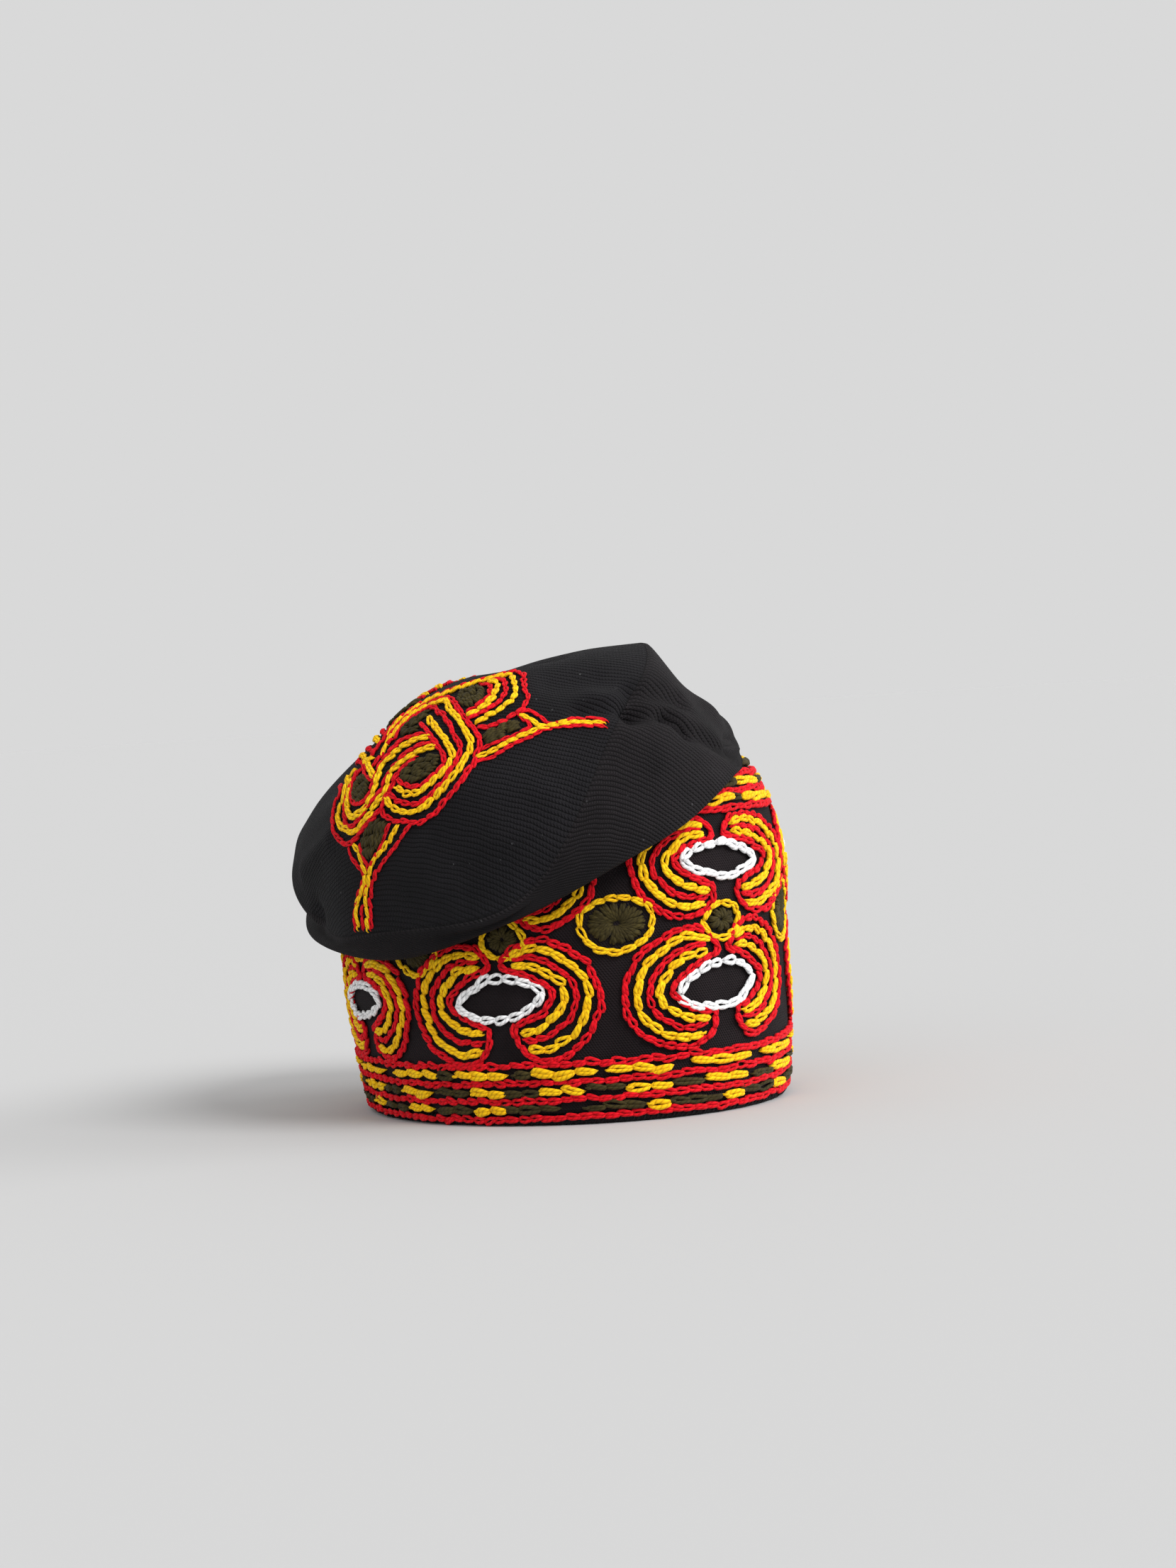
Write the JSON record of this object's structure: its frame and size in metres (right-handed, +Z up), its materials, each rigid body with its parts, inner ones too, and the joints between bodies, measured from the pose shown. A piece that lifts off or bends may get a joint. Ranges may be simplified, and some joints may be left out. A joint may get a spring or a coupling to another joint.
{
  "type": "embroidered slouch cap",
  "caption": "Brimless cap with a tall embroidered wall and a soft round crown that has slumped over one side of it.",
  "frame": {"origin": "centre of the cap's extent in X and Y, on the flat surface that the hem rests on", "axes": "+Z up through the crown, -Y towards the front as worn, +X towards the wearer's left"},
  "size_m": [0.1949, 0.2204, 0.1916],
  "materials": {
    "hem_cloth": "matt black overcast edge",
    "band_cloth": "matt black cloth, covered with wool chain stitch in the render",
    "side_cloth": "matt black ribbed knit",
    "top_cloth": "matt black ribbed knit, with a wool chain stitch knot in the render"
  },
  "bodies": {
    "root": {"hem": "hem_cloth", "band": "band_cloth", "crown_side": "side_cloth", "crown_top": "top_cloth"}
  },
  "joints": []
}
